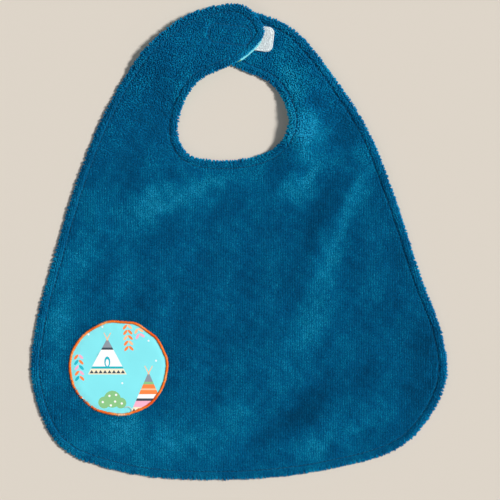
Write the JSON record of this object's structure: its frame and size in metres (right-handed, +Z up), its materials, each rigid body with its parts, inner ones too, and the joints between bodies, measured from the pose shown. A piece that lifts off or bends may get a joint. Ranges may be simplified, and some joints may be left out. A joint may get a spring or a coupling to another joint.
{
  "type": "baby bib",
  "caption": "Terry and cotton baby bib with a round neck opening, a hook-and-loop strap closure and a round applique patch.",
  "frame": {"origin": "centre of the bounding box, on the surface that the bib lies on", "axes": "+Z up out of the terry face, +Y from the hem towards the neck closure, +X towards the side that the loop tape is on"},
  "size_m": [0.331, 0.3786, 0.0097],
  "materials": {
    "terry": "cut and looped pile, matt",
    "cotton_print": "plain weave, matt",
    "teal_thread": "polyester thread, soft sheen",
    "white_thread": "polyester thread, soft sheen",
    "satin_thread": "embroidery thread, variegated orange, glossy",
    "loop_tape": "brushed loops, matt",
    "hook_tape": "woven nylon with moulded hooks"
  },
  "bodies": {
    "chest_upper": {"cotton_chest_upper": "cotton_print", "terry_chest_upper": "terry", "topstitch_side_left": "teal_thread", "topstitch_side_right": "teal_thread", "topstitch_neck": "teal_thread"},
    "chest_lower": {"cotton_chest_lower": "cotton_print", "terry_chest_lower": "terry", "topstitch_hem": "teal_thread", "applique_patch": "cotton_print", "applique_satin_edge": "satin_thread"},
    "left_strap": {"cotton_left_strap": "cotton_print", "terry_left_strap": "terry", "topstitch_left_strap_outer": "teal_thread", "topstitch_left_strap_inner": "teal_thread"},
    "closure_tab": {"cotton_closure_tab": "cotton_print", "terry_closure_tab": "terry", "topstitch_closure_tab": "teal_thread", "hook_tape": "hook_tape", "hook_tape_stitching": "teal_thread"},
    "right_strap": {"cotton_right_strap": "cotton_print", "terry_right_strap": "terry", "topstitch_right_strap": "teal_thread", "loop_tape": "loop_tape", "loop_tape_stitching": "white_thread"}
  },
  "joints": [
    {"name": "chest_fold", "type": "hinge", "parent": "chest_upper", "child": "chest_lower", "pos_m": [0, -0.05633, 0.0038], "axis": [-1, 0, 0], "range_deg": [0, 165]},
    {"name": "left_strap_lift", "type": "hinge", "parent": "chest_upper", "child": "left_strap", "pos_m": [-0.08, 0.08567, 0.0038], "axis": [1, 0, 0], "range_deg": [0, 90]},
    {"name": "right_strap_lift", "type": "hinge", "parent": "chest_upper", "child": "right_strap", "pos_m": [0.07, 0.08567, 0.0038], "axis": [1, 0, 0], "range_deg": [0, 90]},
    {"name": "closure_peel", "type": "hinge", "parent": "left_strap", "child": "closure_tab", "pos_m": [-0.03574, 0.155, 0.0097], "axis": [0, -1, 0], "range_deg": [0, 165]}
  ],
  "couplings": [
    {"joint": "right_strap_lift", "follows": "left_strap_lift", "ratio": 1}
  ]
}
